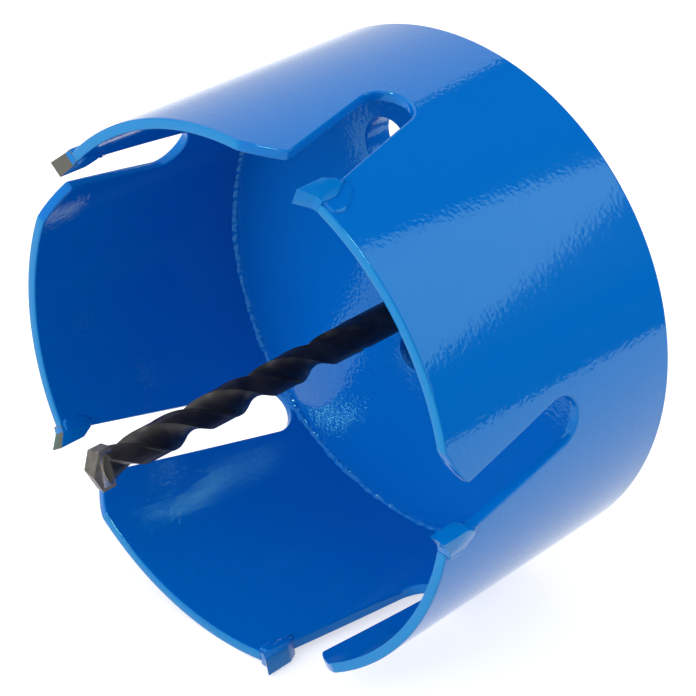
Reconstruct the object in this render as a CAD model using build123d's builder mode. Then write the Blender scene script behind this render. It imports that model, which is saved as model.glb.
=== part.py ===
"""Hole saw with arbor and pilot drill, lying on its side.

The tool's axis runs along Y: the teeth face -Y and the shank +Y. The origin is on the axis where the
hexagon shank leaves the arbor's collar. Stations are distances from there towards the teeth. Angles
are counted in the XZ plane from +X towards +Z, which is the way the saw turns when it cuts.
"""

import math
import os

from build123d import *

os.makedirs("parts", exist_ok=True)

# --- Cup, mm ---
cutting_diameter = 112.0  # over the tips, the size of the hole
wall = 2.1
cup_height = 63.2
plate_thickness = 7.2
weld_leg = 1.0
wall_edge_chamfer = 0.3
back_edge_rounding = 0.8

# --- Slots between the segments ---
segments = 5
slot_width = 10.2
slot_depth = 35.5
slot_lean = 13.1  # degrees that a slot leans forward with depth
long_slot = 4  # this one runs down to the weld, so that a core can be pried out
long_slot_clearance = 0.1  # left between the long slot's end and the weld
chamfer_length = 9.2  # chip chamfer on the segment ahead of each slot
chamfer_depth = 5.0
chamfer_bulge = 0.45

# --- Carbide tips ---
tip_proud_outside = 1.0  # side clearance that a tip cuts for the wall
tip_proud_inside = 0.4
tip_reach = 3.0  # the cutting face stands this far out of the slot's flank
tip_width = 4.2
tip_height = 2.2  # above the rim
tip_face_depth = 4.0  # cutting face below the rim
tip_back_depth = 3.8
tip_seat_depth = 6.6
tip_seat_near = 1.3  # the rounded lower end lies between these distances from the cutting face
tip_seat_far = 2.6
tip_top_fall = 2.0
tip_side_relief = 0.4

# --- Holes in the base plate ---
thread_diameter = 15.875
pin_circle_radius = 12.9
pin_hole_diameter = 8.0
pin_angle = 82.6
knock_out_circle_radius = 32.6
knock_out_diameter = 11.0
knock_out_angle = 108.7
plate_hole_chamfer = 0.5

# --- Arbor ---
shank_across_flats = 11.1
shank_length = 28.0
shank_chamfer = 1.0
collar_diameter = 22.0
collar_length = 10.0
barrel_diameter = 19.0
barrel_length = 14.0
barrel_across_flats = 16.0
nose_proud = 1.0
nut_across_flats = 28.0
nut_thickness = 6.5
drive_plate_diameter = 37.0
drive_plate_thickness = 6.5
drive_pin_diameter = 6.35
drive_pin_setback = 1.0  # the pins end this far short of the base plate's inner face
turned_chamfer = 0.8
thread_clearance = 0.05
slide_clearance = 0.05
clamp_screw_diameter = 6.0
clamp_screw_inset = 0.5
clamp_screw_angle = 172.6
socket_across_flats = 3.0
socket_depth = 2.5

# --- Pilot drill ---
pilot_diameter = 7.0
pilot_clearance = 0.05
pilot_ahead_of_rim = 33.0
pilot_bore_start = 1.5
pilot_end_gap = 0.5
pilot_flat_depth = 0.5
pilot_flat_length = 8.0
pilot_end_chamfer = 0.6
flute_lead = 30.4
flute_length = 66.0
flute_web = 3.2
flute_radius = 5.0
flute_run_out_radius = 22.0
flute_run_out_angle = 36.0
flute_start_angle = 30.0
bit_width = 8.4
bit_thickness = 2.5
bit_length = 5.0
bit_point_angle = 130.0
bit_relief_angle = 25.0
bit_ahead_of_nose = 1.2
bit_ahead_of_flute = 115.0  # degrees from a flute's middle to the bit, which lies at the land's front edge

# --- Worked out from the sizes above ---
tip_outer_radius = cutting_diameter / 2
outer_radius = tip_outer_radius - tip_proud_outside
inner_radius = outer_radius - wall
tip_inner_radius = inner_radius - tip_proud_inside
back_face = collar_length + barrel_length
plate_face = back_face + plate_thickness
rim = back_face + cup_height
long_slot_depth = rim - plate_face - weld_leg - long_slot_clearance
pitch_angle = 360 / segments
lean_rise = math.tan(math.radians(slot_lean))
slot_half_arc = slot_width / 2 / math.cos(math.radians(slot_lean))
slot_ahead_of_tip = slot_half_arc - tip_reach

drive_plate_back = back_face - drive_plate_thickness
nut_back = drive_plate_back - nut_thickness
nose_end = plate_face + nose_proud
clamp_screw_station = collar_length / 2

pilot_radius = pilot_diameter / 2
pilot_start = pilot_bore_start + pilot_end_gap
pilot_flat_radius = pilot_radius - pilot_flat_depth
pilot_apex = rim + pilot_ahead_of_rim
pilot_nose = pilot_apex - bit_ahead_of_nose
point_slope = 1 / math.tan(math.radians(bit_point_angle / 2))
relief_slope = math.tan(math.radians(bit_relief_angle))
bit_angle = flute_start_angle + bit_ahead_of_flute

# Laid down, the saw touches with its wall and with the outer heel of one tip, which stops it rolling.
heel_depth = tip_outer_radius - tip_side_relief
heel_radius = math.hypot(heel_depth, tip_width)
heel_angle = math.degrees(math.atan2(tip_width, heel_depth))
rest_angle = math.degrees(math.acos(outer_radius / heel_radius))
first_tip_angle = rest_angle + heel_angle - 90


touching = 0.001  # two lengths are taken as equal below this difference


def station(distance, angle=0):
    """Plane across the axis that faces the teeth: X is the radius at the angle, Y goes the way the saw cuts."""
    turn = math.radians(angle)
    return Plane(origin=(0, -distance, 0), x_dir=(math.cos(turn), 0, math.sin(turn)), z_dir=(0, -1, 0))


def radial_plane(angle, distance):
    """Plane through the axis that faces outwards: X goes the way the saw cuts, Y points at the teeth."""
    turn = math.radians(angle)
    return Plane(
        origin=(0, -distance, 0),
        x_dir=(-math.sin(turn), 0, math.cos(turn)),
        z_dir=(math.cos(turn), 0, math.sin(turn)),
    )


def axial_plane(angle):
    """Plane that holds the axis: X is the radius at the angle, Y points at the teeth."""
    turn = math.radians(angle)
    return Plane(
        origin=(0, 0, 0),
        x_dir=(math.cos(turn), 0, math.sin(turn)),
        z_dir=(math.sin(turn), 0, -math.cos(turn)),
    )


def tip_angle(index):
    return first_tip_angle + index * pitch_angle


def draw_tip():
    """Side view of a tip in the open sketch: the cutting face on X = 0 and the rim on Y = 0."""
    with BuildLine() as side_view:
        Polyline(
            (0, tip_height),
            (0, -tip_face_depth),
            (-tip_seat_near, -tip_seat_depth),
            (-tip_seat_far, -tip_seat_depth),
            (-tip_width, -tip_back_depth),
            (-tip_width, tip_height - tip_top_fall),
            close=True,
        )
    make_face(side_view.edges())


def draw_gap(depth):
    """Slot and chip chamfer in the open sketch, whose origin is halfway down the slot's centre line."""
    half = depth / 2
    end_centre = depth - slot_width / 2 - half
    rim_centre = -half * lean_rise
    rim_corner = (rim_centre + slot_half_arc + chamfer_length, half)
    flank_corner = (rim_centre + slot_half_arc + chamfer_depth * lean_rise, half - chamfer_depth)
    SlotCenterPoint((rim_centre, half), (end_centre * lean_rise, -end_centre), slot_width)
    with BuildLine() as chip_chamfer:
        SagittaArc(flank_corner, rim_corner, chamfer_bulge)
        Polyline(
            rim_corner,
            (rim_corner[0], half + chamfer_depth),
            (rim_centre, half + chamfer_depth),
            (rim_centre, half - chamfer_depth),
            flank_corner,
        )
    make_face(chip_chamfer.edges())


def bounds_wall(edge, radius):
    """Tell whether an edge ahead of the back face lies on the cylinder of this radius."""
    points = [edge @ share for share in (0, 0.5, 1)]
    ahead = points[1].Y < -back_face - wall_edge_chamfer
    return ahead and all(abs(math.hypot(point.X, point.Z) - radius) < touching for point in points)


def cut_flutes():
    """Cut two right-hand flutes that run out of the drill, through the open part."""
    for i in range(2):
        with BuildLine() as flute_path:
            spiral = Helix(
                pitch=flute_lead,
                height=flute_length,
                radius=flute_web / 2 + flute_radius,
                center=(0, -pilot_apex, 0),
                direction=(0, 1, 0),
            )
            forward = spiral % 1
            outward = Vector((spiral @ 1).X, 0, (spiral @ 1).Z).normalized()
            centre = spiral @ 1 + outward * flute_run_out_radius
            half = math.radians(flute_run_out_angle / 2)
            arc_points = [
                centre + (forward * math.sin(turn) - outward * math.cos(turn)) * flute_run_out_radius
                for turn in (half, 2 * half)
            ]
            ThreePointArc(spiral @ 1, *arc_points)
        route = flute_path.wire().rotate(Axis.Y, 90 - flute_start_angle + 180 * i)
        with BuildSketch(Plane(route @ 0, z_dir=route % 0)) as section:
            Circle(flute_radius)
        sweep(sections=section.sketch, path=route, is_frenet=True, mode=Mode.SUBTRACT)


def draw_bit():
    """Section of the carbide bit in the open sketch, across the drill."""
    Rectangle(bit_width, bit_thickness)


# --- Cup shell: a tube with slots, chip chamfers and a seat for each tip ---
with BuildPart() as cup_shell:
    with BuildSketch(station(back_face)):
        Circle(outer_radius)
        Circle(inner_radius, mode=Mode.SUBTRACT)
    extrude(amount=cup_height)
    for i in range(segments):
        depth = long_slot_depth if i == long_slot else slot_depth
        forward = slot_ahead_of_tip + depth / 2 * lean_rise
        slot_angle = tip_angle(i) + math.degrees(forward / outer_radius)
        with BuildSketch(radial_plane(slot_angle, rim - depth / 2)):
            draw_gap(depth)
        extrude(amount=cutting_diameter, mode=Mode.SUBTRACT)
    for radius in (outer_radius, inner_radius):
        chamfer(cup_shell.edges().filter_by(lambda edge: bounds_wall(edge, radius)), wall_edge_chamfer)
    on_back_face = cup_shell.faces().sort_by(Axis.Y)[-1].edges()
    fillet(on_back_face.sort_by(SortBy.RADIUS)[-1], back_edge_rounding)
    for i in range(segments):
        with BuildSketch(radial_plane(tip_angle(i), rim)):
            draw_tip()
        extrude(amount=cutting_diameter, mode=Mode.SUBTRACT)
cup_shell.part.label = "cup_shell"
export_step(cup_shell.part, "parts/cup_shell.step")


# --- Base plate: threaded bore, drive-pin holes, knock-out holes ---
with BuildPart() as base_plate:
    with BuildSketch(station(back_face)):
        Circle(inner_radius)
        with PolarLocations(pin_circle_radius, 2, start_angle=pin_angle):
            Circle(pin_hole_diameter / 2, mode=Mode.SUBTRACT)
        with PolarLocations(knock_out_circle_radius, 2, start_angle=knock_out_angle):
            Circle(knock_out_diameter / 2, mode=Mode.SUBTRACT)
    extrude(amount=plate_thickness)
    hole_rims = base_plate.edges().filter_by(GeomType.CIRCLE).filter_by(
        lambda rim_edge: rim_edge.radius < inner_radius / 2
    )
    chamfer(hole_rims, plate_hole_chamfer)
    with BuildSketch(station(back_face)):
        Circle(thread_diameter / 2)
    extrude(amount=plate_thickness, mode=Mode.SUBTRACT)
base_plate.part.label = "base_plate"
export_step(base_plate.part, "parts/base_plate.step")


# --- Weld bead in the corner between the shell and the base plate ---
with BuildPart() as weld_bead:
    with BuildSketch(axial_plane(0)):
        with BuildLine():
            corner = (inner_radius, plate_face)
            on_plate = (inner_radius - weld_leg, plate_face)
            on_wall = (inner_radius, plate_face + weld_leg)
            Polyline(on_plate, corner, on_wall, close=True)
        make_face()
    revolve(axis=Axis.Y)
weld_bead.part.label = "weld_bead"
export_step(weld_bead.part, "parts/weld_bead.step")


# --- Carbide tips, thicker than the wall, each brazed into its seat ---
for i in range(segments):
    with BuildPart() as carbide_tip:
        with BuildSketch(station(rim - tip_seat_depth, tip_angle(i))):
            with BuildLine():
                Polyline(
                    (tip_inner_radius, 0),
                    (tip_outer_radius, 0),
                    (tip_outer_radius - tip_side_relief, -tip_width),
                    (tip_inner_radius, -tip_width),
                    close=True,
                )
            make_face()
        extrude(amount=tip_seat_depth + tip_height)
        with BuildSketch(radial_plane(tip_angle(i), rim)):
            draw_tip()
        extrude(amount=cutting_diameter, mode=Mode.INTERSECT)
    carbide_tip.part.label = f"carbide_tip_{i + 1}"
    export_step(carbide_tip.part, f"parts/carbide_tip_{i + 1}.step")


# --- Arbor body: hexagon shank, collar, flatted barrel, threaded nose, pilot bore ---
with BuildPart() as arbor_body:
    with BuildSketch(station(-shank_length, pin_angle)):
        RegularPolygon(shank_across_flats / 2, 6, major_radius=False)
    extrude(amount=shank_length)
    chamfer(arbor_body.faces().sort_by(Axis.Y)[-1].edges(), shank_chamfer)
    with BuildSketch(station(0)):
        Circle(collar_diameter / 2)
    extrude(amount=collar_length)
    chamfer(arbor_body.edges().filter_by(GeomType.CIRCLE), turned_chamfer)
    with BuildSketch(station(collar_length, pin_angle)):
        Circle(barrel_diameter / 2)
        Rectangle(barrel_across_flats, barrel_diameter, mode=Mode.INTERSECT)
    extrude(amount=barrel_length)
    with BuildSketch(station(back_face)):
        Circle(thread_diameter / 2 - thread_clearance)
    extrude(amount=plate_thickness + nose_proud)
    chamfer(arbor_body.faces().sort_by(Axis.Y)[0].edges(), turned_chamfer)
    with BuildSketch(station(pilot_bore_start)):
        Circle(pilot_radius + pilot_clearance)
    extrude(amount=nose_end - pilot_bore_start, mode=Mode.SUBTRACT)
    with BuildSketch(radial_plane(clamp_screw_angle, clamp_screw_station)):
        Circle(clamp_screw_diameter / 2 + thread_clearance)
    extrude(amount=collar_diameter, mode=Mode.SUBTRACT)
arbor_body.part.label = "arbor_body"
export_step(arbor_body.part, "parts/arbor_body.step")


# --- Drive plate: slides on the barrel's two flats ---
with BuildPart() as drive_plate:
    with BuildSketch(station(drive_plate_back)):
        Circle(drive_plate_diameter / 2)
    extrude(amount=drive_plate_thickness)
    chamfer(drive_plate.edges().filter_by(GeomType.CIRCLE), turned_chamfer)
    with BuildSketch(station(drive_plate_back, pin_angle)):
        Circle(barrel_diameter / 2 + slide_clearance)
        Rectangle(
            barrel_across_flats + 2 * slide_clearance,
            barrel_diameter + 2 * slide_clearance,
            mode=Mode.INTERSECT,
        )
    extrude(amount=drive_plate_thickness, mode=Mode.SUBTRACT)
    with BuildSketch(station(drive_plate_back, pin_angle)):
        with PolarLocations(pin_circle_radius, 2):
            Circle(drive_pin_diameter / 2)
    extrude(amount=drive_plate_thickness, mode=Mode.SUBTRACT)
drive_plate.part.label = "drive_plate"
export_step(drive_plate.part, "parts/drive_plate.step")


# --- Drive pins, pressed into the drive plate and reaching into the base plate ---
for i in range(2):
    with BuildPart() as drive_pin:
        with BuildSketch(station(drive_plate_back, pin_angle + 180 * i)):
            with Locations((pin_circle_radius, 0)):
                Circle(drive_pin_diameter / 2)
        extrude(amount=drive_plate_thickness + plate_thickness - drive_pin_setback)
        chamfer(drive_pin.faces().sort_by(Axis.Y)[0].edges(), turned_chamfer)
    drive_pin.part.label = f"drive_pin_{i + 1}"
    export_step(drive_pin.part, f"parts/drive_pin_{i + 1}.step")


# --- Lock nut: thin hexagon nut with turned corners ---
with BuildPart() as lock_nut:
    with BuildSketch(station(nut_back, pin_angle)):
        RegularPolygon(nut_across_flats / 2, 6, major_radius=False)
    extrude(amount=nut_thickness)
    with BuildSketch(axial_plane(0)):
        with BuildLine():
            corner_radius = nut_across_flats / math.sqrt(3)
            Polyline(
                (0, nut_back),
                (nut_across_flats / 2, nut_back),
                (corner_radius, nut_back + turned_chamfer),
                (corner_radius, drive_plate_back - turned_chamfer),
                (nut_across_flats / 2, drive_plate_back),
                (0, drive_plate_back),
                close=True,
            )
        make_face()
    revolve(axis=Axis.Y, mode=Mode.INTERSECT)
    with BuildSketch(station(nut_back)):
        Circle(barrel_diameter / 2 + thread_clearance)
    extrude(amount=nut_thickness, mode=Mode.SUBTRACT)
lock_nut.part.label = "lock_nut"
export_step(lock_nut.part, "parts/lock_nut.step")


# --- Clamp screw: socket set screw that bears on the pilot drill's flat ---
with BuildPart() as pilot_clamp_screw:
    screw_foot = radial_plane(clamp_screw_angle, clamp_screw_station).offset(pilot_flat_radius)
    screw_length = collar_diameter / 2 - clamp_screw_inset - pilot_flat_radius
    with BuildSketch(screw_foot):
        Circle(clamp_screw_diameter / 2)
    extrude(amount=screw_length)
    chamfer(pilot_clamp_screw.edges().filter_by(GeomType.CIRCLE), clamp_screw_inset)
    with BuildSketch(screw_foot.offset(screw_length)):
        RegularPolygon(socket_across_flats / 2, 6, major_radius=False)
    extrude(amount=-socket_depth, mode=Mode.SUBTRACT)
pilot_clamp_screw.part.label = "pilot_clamp_screw"
export_step(pilot_clamp_screw.part, "parts/pilot_clamp_screw.step")


# --- Pilot drill: plain shank with a flat, two flutes that run out, coned nose slotted for its bit ---
with BuildPart() as pilot_drill:
    with BuildSketch(axial_plane(0)):
        with BuildLine():
            Polyline(
                (0, pilot_start),
                (pilot_radius - pilot_end_chamfer, pilot_start),
                (pilot_radius, pilot_start + pilot_end_chamfer),
                (pilot_radius, pilot_nose - pilot_radius * point_slope),
                (0, pilot_nose),
                close=True,
            )
        make_face()
    revolve(axis=Axis.Y)
    cut_flutes()
    with BuildSketch(station(pilot_apex - bit_length, bit_angle)):
        draw_bit()
    extrude(amount=bit_length, mode=Mode.SUBTRACT)
    with BuildSketch(radial_plane(clamp_screw_angle, pilot_start).offset(pilot_flat_radius)):
        Rectangle(pilot_diameter, 2 * pilot_flat_length)
    extrude(amount=pilot_diameter, mode=Mode.SUBTRACT)
pilot_drill.part.label = "pilot_drill"
export_step(pilot_drill.part, "parts/pilot_drill.step")


# --- Pilot tip: carbide plate brazed into the drill's nose and ground to a point ---
with BuildPart() as pilot_tip:
    with BuildSketch(station(pilot_apex - bit_length, bit_angle)):
        draw_bit()
    extrude(amount=bit_length)
    cut_flutes()
    front = station(pilot_apex, bit_angle)
    for side in (1, -1):
        facing = front.z_dir + (front.x_dir * point_slope - front.y_dir * relief_slope) * side
        split(bisect_by=Plane(front.origin, z_dir=facing), keep=Keep.BOTTOM)
pilot_tip.part.label = "pilot_tip"
export_step(pilot_tip.part, "parts/pilot_tip.step")
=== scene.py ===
import math

import bmesh
import bpy
from bpy.props import FloatProperty, FloatVectorProperty, IntProperty, PointerProperty
from bpy.types import Operator, Panel, PropertyGroup
from mathutils import Matrix, Vector, noise


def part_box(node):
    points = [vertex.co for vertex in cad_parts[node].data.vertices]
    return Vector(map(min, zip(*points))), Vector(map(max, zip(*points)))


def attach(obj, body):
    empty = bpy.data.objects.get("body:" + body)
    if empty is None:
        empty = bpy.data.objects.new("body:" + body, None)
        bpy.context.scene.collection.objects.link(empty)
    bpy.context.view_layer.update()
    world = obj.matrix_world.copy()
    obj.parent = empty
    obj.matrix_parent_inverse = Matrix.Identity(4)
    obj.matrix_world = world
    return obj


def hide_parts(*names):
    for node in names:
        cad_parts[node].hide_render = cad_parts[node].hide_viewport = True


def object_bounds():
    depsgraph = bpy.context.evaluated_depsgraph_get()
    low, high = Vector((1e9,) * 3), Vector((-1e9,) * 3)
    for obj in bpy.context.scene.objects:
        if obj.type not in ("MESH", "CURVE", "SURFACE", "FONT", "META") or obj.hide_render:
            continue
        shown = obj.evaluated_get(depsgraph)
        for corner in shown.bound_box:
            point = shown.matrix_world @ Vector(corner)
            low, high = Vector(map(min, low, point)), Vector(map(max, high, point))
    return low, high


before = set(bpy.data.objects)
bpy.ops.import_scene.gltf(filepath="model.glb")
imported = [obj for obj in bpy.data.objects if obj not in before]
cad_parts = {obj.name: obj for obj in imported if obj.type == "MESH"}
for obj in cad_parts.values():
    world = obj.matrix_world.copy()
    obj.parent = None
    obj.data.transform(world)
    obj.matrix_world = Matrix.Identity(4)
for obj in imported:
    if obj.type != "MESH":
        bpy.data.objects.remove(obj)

bl_info = {
    "name": "Hole Saw Finish",
    "version": (1, 0, 0),
    "blender": (4, 5, 0),
    "location": "3D View > Sidebar > Hole Saw",
    "description": "Makes a hole saw's painted cup, brazed tips, arbor and pilot drill round its fixed frame",
    "category": "Object",
}

MM = 0.001
CAD_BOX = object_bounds()
BODY = "root"
TIPS = 5
PITCH = math.radians(360 / TIPS)
WELD_DISTANCE = 0.002 * MM  # points nearer than this are made one
UPRIGHT = Matrix.Rotation(math.radians(90), 4, "X")  # turns a flat circle square to the saw's axis

# The saw's axis is Y, with the teeth towards -Y. A station is a distance from the origin towards the
# teeth. An angle is counted in the XZ plane from +X towards +Z, the way the saw cuts.
SHELL_LOW, SHELL_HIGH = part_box("cup_shell")
PLATE_LOW, PLATE_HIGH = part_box("base_plate")
DRILL_LOW, DRILL_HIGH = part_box("pilot_drill")
POINT_LOW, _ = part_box("pilot_tip")
WELD_LOW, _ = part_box("weld_bead")
OUTER_RADIUS = SHELL_HIGH.x
INNER_RADIUS = PLATE_HIGH.x
WALL = OUTER_RADIUS - INNER_RADIUS
MID_RADIUS = (OUTER_RADIUS + INNER_RADIUS) / 2
RIM = -SHELL_LOW.y
BACK = -SHELL_HIGH.y
PLATE_FACE = -PLATE_LOW.y
CUP_HEIGHT = RIM - BACK
WELD_LEG = -WELD_LOW.y - PLATE_FACE
FLOOR = CAD_BOX[0][2]


def angle_of(point):
    return math.atan2(point.z, point.x)


def tip_angle(index):
    """Angle of a tip's cutting face, which is the foremost face of its solid."""
    low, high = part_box(f"carbide_tip_{index + 1}")
    middle = angle_of((low + high) / 2)
    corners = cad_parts[f"carbide_tip_{index + 1}"].data.vertices
    ahead = max(math.remainder(angle_of(corner.co) - middle, math.tau) for corner in corners)
    return middle + ahead


# ---------- sizes and colours


def length(name, description, millimetres):
    return FloatProperty(name=name, description=description, default=millimetres * MM, unit="LENGTH")


def angle(name, description, degrees):
    return FloatProperty(name=name, description=description, default=math.radians(degrees), subtype="ANGLE")


def share(name, description, value):
    return FloatProperty(name=name, description=description, default=value, min=0, max=1, subtype="FACTOR")


def colour(name, description, value):
    return FloatVectorProperty(
        name=name, description=description, default=(*value, 1), size=4, min=0, max=1, subtype="COLOR"
    )


class HoleSawSizes(PropertyGroup):
    """Sizes of the finished pieces."""

    edge_rounding: length("Edge rounding", "Radius of the cup's painted edges", 0.36)
    slot_width: length("Slot width", "Width of the slots in the wall", 10.2)
    slot_depth: length("Slot depth", "Depth of a plain slot from the rim", 35.5)
    slot_lean: angle("Slot lean", "How far a slot leans towards the next tip", 13.1)
    long_slot: IntProperty(name="Long slot", description="Tip whose slot runs down to the weld", default=5)
    chip_length: length("Chip chamfer length", "Length along the rim of the cut corner beyond a slot", 9.2)
    chip_depth: length("Chip chamfer depth", "Depth of the cut corner beyond a slot", 5.0)
    chip_bulge: length("Chip chamfer bulge", "How far the cut corner stands proud of a straight line", 0.45)
    tip_reach: length("Tip reach", "How far a cutting face stands out of the slot's flank", 3.0)
    tip_width: length("Tip width", "Length of a tip along the rim", 4.2)
    tip_height: length("Tip height", "Height of a cutting edge above the rim", 2.2)
    tip_face: length("Tip face", "Depth of a cutting face below the rim", 4.0)
    tip_seat: length("Tip seat", "Depth of a tip's rounded seat below the rim", 6.6)
    tip_fall: length("Tip fall", "How far a tip's top falls from its edge to its heel", 2.0)
    tip_outside: length("Tip outside", "How far a tip stands proud outside the wall", 1.0)
    tip_inside: length("Tip inside", "How far a tip stands proud inside the wall", 0.4)
    tip_relief: length("Tip relief", "How far a tip's outside falls away to its heel", 0.4)
    tip_rounding: length("Tip rounding", "Radius that paint and grinding leave on a tip's edges", 0.16)
    braze_height: length("Braze height", "How far the braze stands proud of the wall", 0.40)
    weld_size: length("Weld size", "Radius of the weld's bead", 1.62)
    thread_diameter: length("Thread diameter", "Diameter of the base plate's threaded bore", 15.875)
    knock_out_diameter: length("Knock-out hole", "Diameter of the holes for knocking out a core", 11)
    knock_out_out: length("Knock-out place", "Distance of those holes from the axis", 32.6)
    knock_out_turn: angle("Knock-out angle", "Angle of the first of those holes", 108.7)
    pin_hole_diameter: length("Pin hole", "Diameter of the holes for the drive pins", 8)
    pin_out: length("Pin place", "Distance of the drive pins from the axis", 12.9)
    pin_turn: angle("Pin angle", "Angle of the first drive pin", 82.6)
    hole_break: length("Broken edge", "Width of the rounding on the rims of the base plate's holes", 0.3)
    head_length: length("Drill head", "Length behind the nose over which the flutes fade in", 10)
    drill_diameter: length("Drill diameter", "Diameter of the pilot drill", 6.7)
    bit_angle: angle("Bit angle", "Angle of the pilot drill's carbide bit", 100.6)
    bit_width: length("Bit width", "Width of the bit, which is what the drill cuts", 7.8)
    bit_thickness: length("Bit thickness", "Thickness of the bit", 2.4)
    bit_length: length("Bit length", "Length of the bit from its point to its seat", 4.6)
    bit_point: angle("Bit point", "Angle between the bit's two cutting edges", 130)
    bit_relief: angle("Bit relief", "How far the ground faces fall away behind the cutting edges", 13)
    flute_lead: length("Flute lead", "Length of one turn of a flute", 32.8)
    flute_web: length("Flute web", "Thickness left between the flutes", 3.3)
    flute_radius: length("Flute radius", "Radius of a flute across the drill", 7.56)
    flute_length: length("Flute length", "Length from the point to where a flute has faded out", 71.3)
    flute_run_out: length("Flute run-out", "Length of the fade, were it cut to the drill's middle", 21.7)
    flute_angle: angle("Flute angle", "Angle of the first flute's middle at the point", 37.3)
    margin: length("Margin", "Width of the land that keeps the drill's full size", 0.75)
    margin_relief: length("Margin relief", "How far the rest of the land lies below the margin", 0.12)


class HoleSawFinish(PropertyGroup):
    """Colours and surface of the finished pieces."""

    paint: colour("Paint", "Powder coat of the cup", (0.0, 0.150, 0.600))
    # Second colour of the coat's random drift, and also painted light: this lighter shade is painted on the
    # rim's land, where it faces the front light
    paint_thin_and_lit: colour("Paint on edges", "Powder coat where it runs thin", (0.0, 0.205, 0.58))
    paint_sheen: colour("Paint reflection", "Tint of what the powder coat mirrors", (0.35, 1.0, 0.85))
    paint_gloss: share("Paint roughness", "Roughness of the powder coat", 0.09)
    peel: share("Orange peel", "Strength of the ripple in the powder coat", 0.8)
    pebble: share("Pebble", "Strength of the coarser ripple on the base plate", 0.6)
    steel: colour("Plated steel", "Zinc plating of the arbor", (0.55, 0.56, 0.58))
    pin_steel: colour("Ground steel", "Ground surface of the drive pins", (0.6, 0.6, 0.6))
    black: colour("Black oxide", "Black finish of the pilot drill", (0.008, 0.008, 0.010))
    black_worn: colour("Worn oxide", "Pilot drill where the black has rubbed thin", (0.035, 0.031, 0.030))
    carbide: colour("Carbide", "Ground carbide of the tips", (0.17, 0.16, 0.145))
    braze: colour("Braze", "Silver braze at the drill's bit", (0.62, 0.56, 0.48))


class HoleSawStudio(PropertyGroup):
    """Camera, floor and light."""

    camera_place: FloatVectorProperty(
        name="Camera place",
        description="Where the camera stands",
        default=(0.26387, -0.34255, 0.21946),
        subtype="TRANSLATION",
        unit="LENGTH",
    )
    camera_turn: FloatVectorProperty(
        name="Camera turn",
        description="Which way the camera looks",
        default=(math.radians(60.5136), math.radians(-0.4899), math.radians(42.6316)),
        subtype="EULER",
    )
    camera_lens: FloatProperty(
        name="Camera lens", description="Focal length for a 36 mm sensor", default=119.61, min=1
    )
    floor_colour: colour("Floor", "Colour of the studio floor", (0.72, 0.72, 0.72))
    room_light: FloatProperty(
        name="Room light", description="Strength of the light all round", default=0.52, min=0
    )


# ---------- flat work in bmesh


def everything(bm):
    return bm.verts[:] + bm.edges[:] + bm.faces[:]


def finish_mesh(bm):
    bmesh.ops.remove_doubles(bm, verts=bm.verts, dist=WELD_DISTANCE)
    bmesh.ops.recalc_face_normals(bm, faces=bm.faces)


def inset(bm, faces, inward, upward):
    """Draw a ring of faces in from the edge of a region and lift what is left."""
    bmesh.ops.inset_region(
        bm, faces=faces, thickness=inward, depth=upward, use_boundary=True, use_even_offset=True
    )


def round_off(bm, parts, affect, width, segments):
    """Round corners or edges of the work."""
    bmesh.ops.bevel(
        bm,
        geom=parts,
        offset=width,
        offset_type="OFFSET",
        affect=affect,
        segments=segments,
        profile=0.5,
        material=-1,
        clamp_overlap=True,
    )


def flat_outline(corners):
    """New bmesh with one upward face. A corner is X, Y, the length its rounding takes, and its steps."""
    bm = bmesh.new()
    verts = [bm.verts.new((x, y, 0)) for x, y, _, _ in corners]
    bm.faces.new(verts)
    for vert, (_, _, taken, steps) in zip(verts, corners):
        if steps:
            round_off(bm, [vert], "VERTICES", taken, steps)
    bmesh.ops.remove_doubles(bm, verts=bm.verts, dist=20 * WELD_DISTANCE)
    bmesh.ops.recalc_face_normals(bm, faces=bm.faces)
    for face in bm.faces:
        if face.normal.z < 0:
            face.normal_flip()
    return bm


def raise_slab(bm, half_thickness, rounding, steps=4, shoulder=0.0, spread=1.0):
    """Turn a flat outline into a closed slab about Z = 0. The spread draws its rounded edges out sideways."""
    top = list(bm.faces)
    inset(bm, top, 0, half_thickness - rounding)
    for step in range(steps):
        before = math.radians(90 * step / steps)
        after = math.radians(90 * (step + 1) / steps)
        inward = rounding * spread * (math.cos(before) - math.cos(after))
        upward = rounding * (math.sin(after) - math.sin(before))
        inset(bm, top, inward, upward)
    if shoulder:
        inset(bm, top, shoulder, 0)
    bmesh.ops.mirror(bm, geom=everything(bm), matrix=Matrix(), merge_dist=WELD_DISTANCE, axis="Z")
    finish_mesh(bm)


def cut(bm, place, facing, clear_behind=False, clear_ahead=False, dist=WELD_DISTANCE / 10):
    """Cut the work along a plane and leave the cut open. The side behind or ahead of it can be cleared."""
    bmesh.ops.bisect_plane(
        bm,
        geom=everything(bm),
        dist=dist,
        plane_co=place,
        plane_no=facing,
        clear_inner=clear_behind,
        clear_outer=clear_ahead,
    )


def close_holes(bm):
    bmesh.ops.holes_fill(bm, edges=bm.edges[:], sides=0)


def slice_across(bm, start, stop, count):
    """Cut the work along X into strips, so that it can be bent."""
    for k in range(1, count):
        cut(bm, (start + (stop - start) * k / count, 0, 0), (1, 0, 0))


def bend_round_axis(bm, turn, radius):
    """Wrap flat work round the saw: X runs along the wall, -Y is the depth below the rim, Z goes out."""
    for vert in bm.verts:
        around = turn + vert.co.x / OUTER_RADIUS
        out = radius + vert.co.z
        vert.co = Vector((out * math.cos(around), -RIM - vert.co.y, out * math.sin(around)))


def stand_up(bm, turn, station, turned):
    """Stand flat work at a station of the axis: Y points to the teeth, X out and Z the way the saw cuts.

    Turned work has these two the other way round."""
    outwards = Vector((math.cos(turn), 0, math.sin(turn)))
    cutting = Vector((-math.sin(turn), 0, math.cos(turn)))
    sideways, upwards = (cutting, outwards) if turned else (outwards, cutting)
    for vert in bm.verts:
        vert.co = sideways * vert.co.x + upwards * vert.co.z + Vector((0, -station - vert.co.y, 0))
    finish_mesh(bm)


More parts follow.
